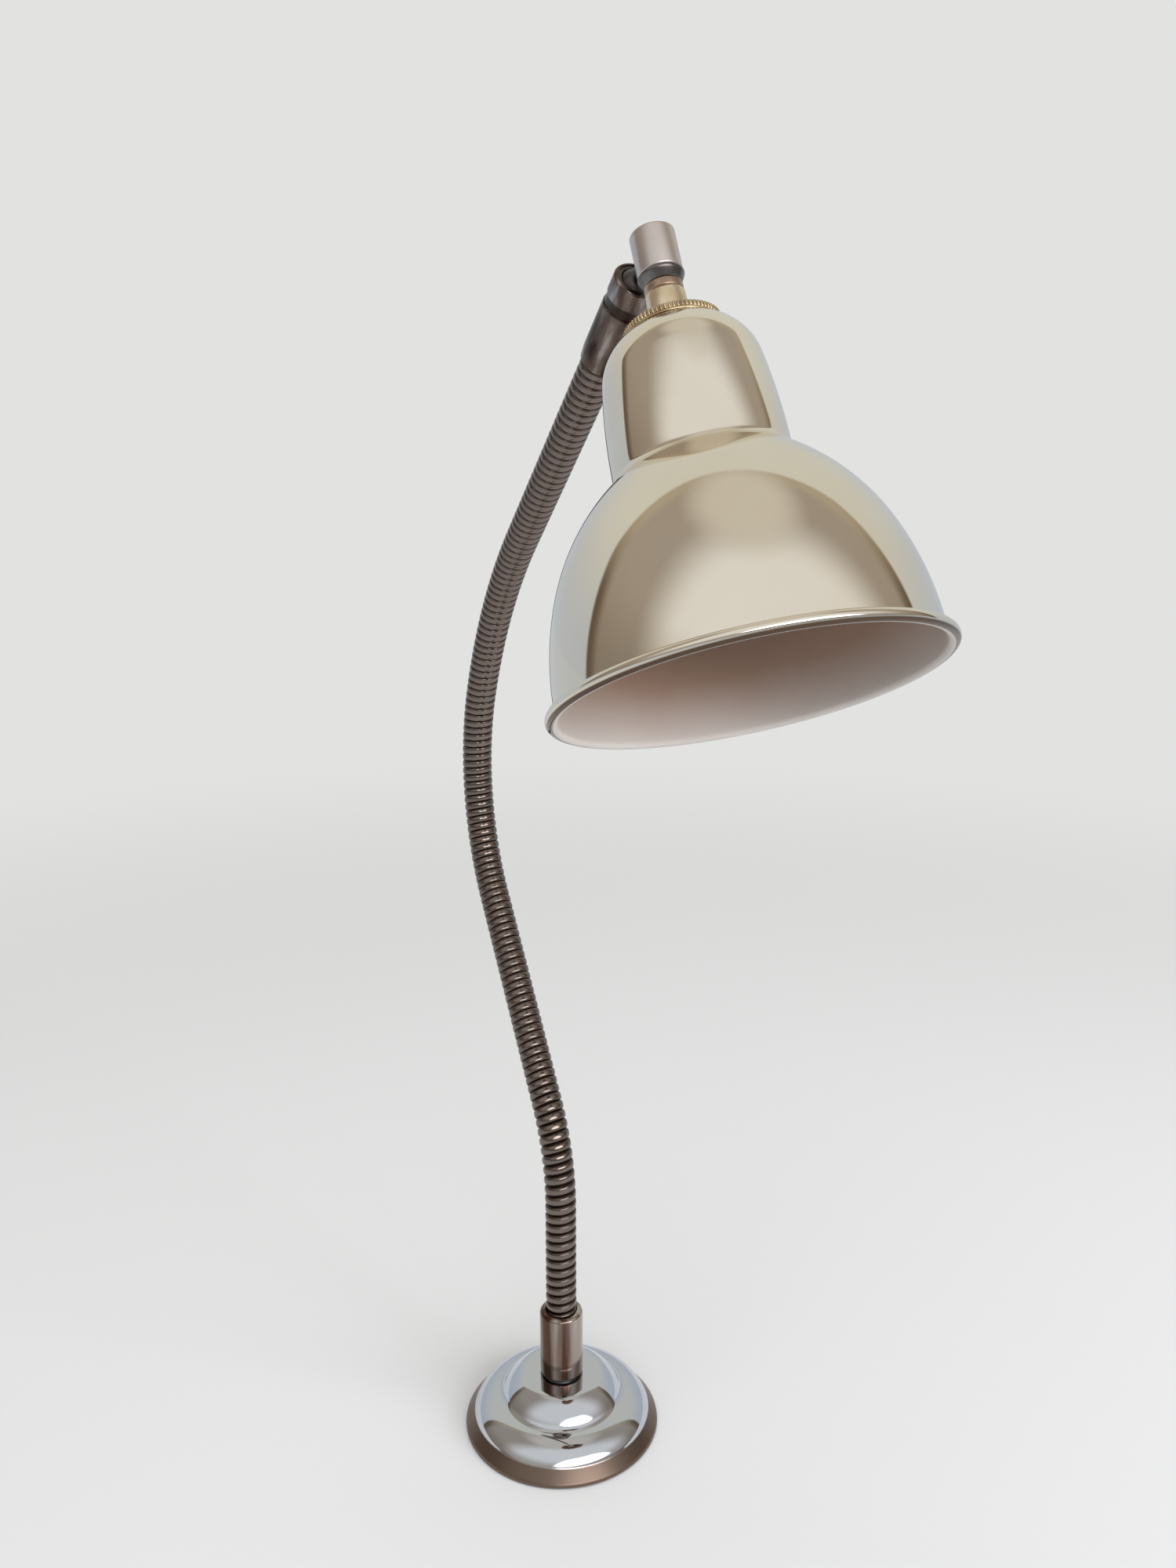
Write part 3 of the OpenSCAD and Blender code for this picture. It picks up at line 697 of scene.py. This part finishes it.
def cut_hose(hose):
    """Cuts the hose into lengths that each span one bend, and hides the CAD hose nodes they stand for."""
    cuts = [HOSE_TRIM] + [(a + b) / 2 for a, b in zip(BENDS, BENDS[1:])] + [HOSE_LENGTH - HOSE_TRIM]
    for k, bend in enumerate(BENDS):
        bpy.ops.object.select_all(action="DESELECT")
        hose.select_set(True)
        bpy.context.view_layer.objects.active = hose
        bpy.ops.object.duplicate()
        piece = bpy.context.object
        piece.name = "hose_length_%d" % (k + 1)
        bpy.ops.object.mode_set(mode="EDIT")
        for s, upper in ((cuts[k], False), (cuts[k + 1], True)):
            y, z, a = along(s)
            bpy.ops.mesh.select_all(action="SELECT")
            bpy.ops.mesh.bisect(plane_co=(0, y * MM, z * MM), plane_no=(0, -math.sin(a), math.cos(a)),
                                use_fill=True, clear_inner=not upper, clear_outer=upper)
            bpy.ops.mesh.mark_sharp()
        bpy.ops.object.mode_set(mode="OBJECT")
        start = along(bend - BEND_REACH)
        end = along(bend + BEND_REACH)
        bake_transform(piece)
        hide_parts(*(["hose_5", "hose_6"] if k == 4 else ["hose_%d" % (k + 1)]))
    bpy.data.objects.remove(hose)


def turn_sleeves(dark, plate, worn):
    """The narrow spacer on the base, the lower sleeve with its round lip, and the worn upper sleeve."""
    gap, spacer_r, foot, floor, lip = 0.04, 10.0, 30.3, ROUTE_Z, 66
    ring = soften([(BORE_R, BASE_TOP + gap), (spacer_r, BASE_TOP + gap),
                   (spacer_r, foot - gap), (BORE_R, foot - gap)], 0.25)
    fit(turned("collar_turned", ring, ON_BENCH, dark), "base", "base_collar", slot="plated_sleeve")
    socket = (
        soften([(BORE_R, foot), (11.2, foot), (11.2, 40.0)], 0.5)
        + arc(8.6, lip - 2.6, 2.6, 0, 90, 12)
        + [(8.4, lip), (8.35, 65.6), (8.35, floor), (4, floor), (4, 42.4), (BORE_R, 42.4)]
    )
    fit(turned("lower_sleeve_turned", socket, ON_BENCH, plate), "base", "lower_sleeve", slot="plated_sleeve")
    tube_r, band_r, end = 9.1, 8.62, 41.6
    tube = (
        soften([(8.4, 0), (8.75, 0), (tube_r, 4.5), (tube_r, 28.2), (band_r, 28.8), (band_r, 32.6),
                (tube_r, 33.2), (tube_r, 38.1)], 0.5)
        + arc(8.2, 40.7, 0.9, 0, 90, 8)
        + [(7.7, end), (7.7, 25.9), (6, 25.9), (6, 10), (8.35, 10)]
    )
    fit(turned("upper_sleeve_turned", tube, ON_SLEEVE, worn), "arm_6", "upper_sleeve", slot="worn_sleeve")


# The undersides of the head's pieces on its axis, in mm, and the gap that keeps each clear of the next
BARREL_Z, LOCK_Z, WASHER_Z, COLLAR_Z, NUT_Z = -8.5, -12.8, -16.2, -28.5, -30.4
GAP = 0.05


def turn_head(satin, steel, brass, red_brass, knurl):
    """The barrel, the lock ring and the brass pieces that hold the shade."""
    can = soften([(0, BARREL_Z), (8.5, BARREL_Z), (8.5, -BARREL_Z), (0, -BARREL_Z)], 0.9, 6)
    fit(turned("barrel_turned", can, ON_HEAD, satin), "head", "barrel", slot="satin_nickel")
    lock = soften([(BORE_R, LOCK_Z), (7.0, LOCK_Z), (8.8, -9.6),
                   (8.8, BARREL_Z - GAP), (BORE_R, BARREL_Z - GAP)], 0.8, 6)
    fit(turned("lock_ring_turned", lock, ON_HEAD, steel), "head", "lock_ring", slot="dark_steel")
    washer = soften([(BORE_R, WASHER_Z), (7.3, WASHER_Z), (7.3, LOCK_Z - GAP), (BORE_R, LOCK_Z - GAP)], 0.6)
    fit(turned("brass_washer_turned", washer, ON_HEAD, red_brass), "head", "brass_washer", slot="brass_trim")
    collar = soften([(BORE_R, COLLAR_Z), (8.0, COLLAR_Z),
                     (7.5, WASHER_Z - GAP), (BORE_R, WASHER_Z - GAP)], 0.9, 6)
    fit(turned("brass_collar_turned", collar, ON_HEAD, brass), "head", "brass_collar", slot="brass_trim")
    nut = (
        [(BORE_R, NUT_Z)]
        + arc(8.33, NUT_Z - 21.5, 21.5, 90, 64.2, 8)
        + soften([(17.75, -32.58), (18.1, -32.58), (18.1, -31.8), (17.6, -31.65), (17.6, -29.4),
                  (15.2, COLLAR_Z - GAP), (BORE_R, COLLAR_Z - GAP)], 0.35)
    )
    fit(turned("knurled_nut_turned", nut, ON_HEAD, knurl, steps=144), "head", slot="brass_trim")
    knurl_teeth(knurl)


def knurl_teeth(finish):
    """The nut's teeth: one rounded peg, copied round its edge."""
    count, tooth_r, tooth_h, ring_r, middle = 72, 0.66, 2.2, 17.55, -30.55
    bpy.ops.object.select_all(action="DESELECT")
    bpy.ops.mesh.primitive_cylinder_add(vertices=10, radius=tooth_r * MM, depth=tooth_h * MM,
                                        location=(ring_r * MM, 0, middle * MM))
    teeth = bpy.context.object
    teeth.name = "knurled_nut_teeth"
    bpy.ops.object.transform_apply(location=True, rotation=True, scale=True)
    bpy.ops.object.mode_set(mode="EDIT")
    bpy.ops.mesh.select_all(action="SELECT")
    bpy.ops.mesh.bevel(offset=0.3 * MM, segments=2, affect="EDGES")
    bpy.ops.mesh.select_all(action="SELECT")
    bpy.ops.mesh.spin(steps=count, angle=2 * math.pi, center=(0, 0, 0), axis=(0, 0, 1), dupli=True)
    bpy.ops.object.mode_set(mode="OBJECT")
    teeth.matrix_world = ON_HEAD
    bpy.ops.object.transform_apply(location=True, rotation=True, scale=True)
    bpy.ops.object.shade_smooth_by_angle(angle=math.radians(50))
    teeth.data.materials.append(finish)
    fit(teeth, "head", "knurled_nut", slot="brass_trim")


def blow_bulb(glass):
    """The bulb's thin frosted glass."""
    middle, ball_r, neck_r, neck_top, neck_foot, wall = -113.1, 22.5, 12.4, -80.1, -89.1, 1.0
    outer = [(neck_r, neck_top), (neck_r, neck_foot)] + arc(0, middle, ball_r, 49, -90, 30)
    inner = (
        arc(0, middle, ball_r - wall, -90, 49, 30)
        + [(neck_r - wall, neck_foot), (neck_r - wall, neck_top)]
    )
    envelope = soften(outer[:4], 2.5, 5)[:-1] + outer[3:] + inner
    bulb = turned("bulb_blown", envelope, ON_HEAD, glass, steps=96, sharp=60)
    fit(bulb, "head", "bulb_glass", slot="bulb_glass")


def dress_nodes():
    """Finishes for the solids that stay as they are."""
    zinc = plain_finish("Steel sheet, zinc plated", "#b9b9b6", "#a3a4a3", 6, Metallic=1.0, Roughness=0.35)
    iron = plain_finish("Iron, sand cast", "#48484a", "#343436", 2, Metallic=1.0, Roughness=0.6)
    felt = plain_finish("Wool felt, pressed", "#3d5140", "#2c3d30", 1.5, Roughness=0.95)
    rubber = plain_finish("Rubber, moulded", "#232221", "#191818", 3, Roughness=0.6)
    sheath = plain_finish("Rubber lead, braided", "#2a2522", "#1c1917", 1.5, Roughness=0.75)
    fibre = plain_finish("Vulcanised fibre, pressed", "#7a5238", "#653f29", 4, Roughness=0.6)
    thread = plain_finish("Brass rod, turned", "#c09a58", "#a37f44", 3, Metallic=1.0, Roughness=0.3)
    holder = plain_finish("Brass sheet, drawn and dulled", "#b8985f", "#98794a", 8,
                          Metallic=1.0, Roughness=0.34)
    porcelain = plain_finish("Porcelain, glazed", "#f0ede6", "#e6e2d9", 10, Roughness=0.2)
    cap = plain_finish("Aluminium cap, rolled", "#c4c4c2", "#aeaeac", 5, Metallic=1.0, Roughness=0.4)
    plain = {
        zinc: ["base_plate", "plate_screws", "base_washer", "base_nut", "spring_washer"],
        iron: ["base_weight"],
        felt: ["felt_pad"],
        rubber: ["cable_bush"],
        sheath: ["lead_%d" % k for k in range(1, 7)] + ["head_lead"],
        fibre: ["ball_seat"],
        thread: ["base_nipple", "head_nipple", "screw_shell", "centre_contact"],
        holder: ["holder_cap", "holder_body"],
        porcelain: ["holder_insulator"],
        cap: ["bulb_cap"],
        dark_steel(): ["socket_ring", "ball_stud"],
    }
    for material, names in plain.items():
        for name in names:
            for slot in nodes[name].material_slots:
                slot.material = material


place_camera()
bpy.context.scene.view_settings.view_transform = "Standard"
hang_studio()
lay_floor()
hang_softbox("window", (0.9, -1.25, 0.75), (0, -0.1, 0.4), width=0.9, height=0.9, watts=15)
hang_softbox("ceiling", (-0.5, -0.3, 2.0), (0, 0, 0.3), width=1.6, height=1.6, watts=15)

dress_nodes()
spin_shade(polished_nickel(), cream_enamel())
spin_base(bright_chrome())
turn_sleeves(
    dark_steel(),
    # The lower sleeve's dark brown tone is a painted reflection
    plated_sleeve("Nickel plate, turned and dulled", "#5a4034", "#bdb5ad"),
    worn_steel(),
)
turn_head(
    satin_nickel(),
    turned_metal("Steel, turned and polished", "#86827f", "#605b59", 0.2),
    turned_metal("Brass, turned and rubbed", "#ecdfc6", "#d3c2a0", 0.22),
    turned_metal("Brass, turned and reddened", "#c4ad9c", "#9d8372", 0.25),
    turned_metal("Brass, knurled and rubbed", "#e8d8b6", "#b39a76", 0.15),
)
blow_bulb(plain_finish("Glass, blown and frosted", "#f4f1ea", "#ece8df", 12, Roughness=0.4, IOR=1.5,
                       Transmission_Weight=0.35))
cut_hose(wind_hose(wound_strip()))
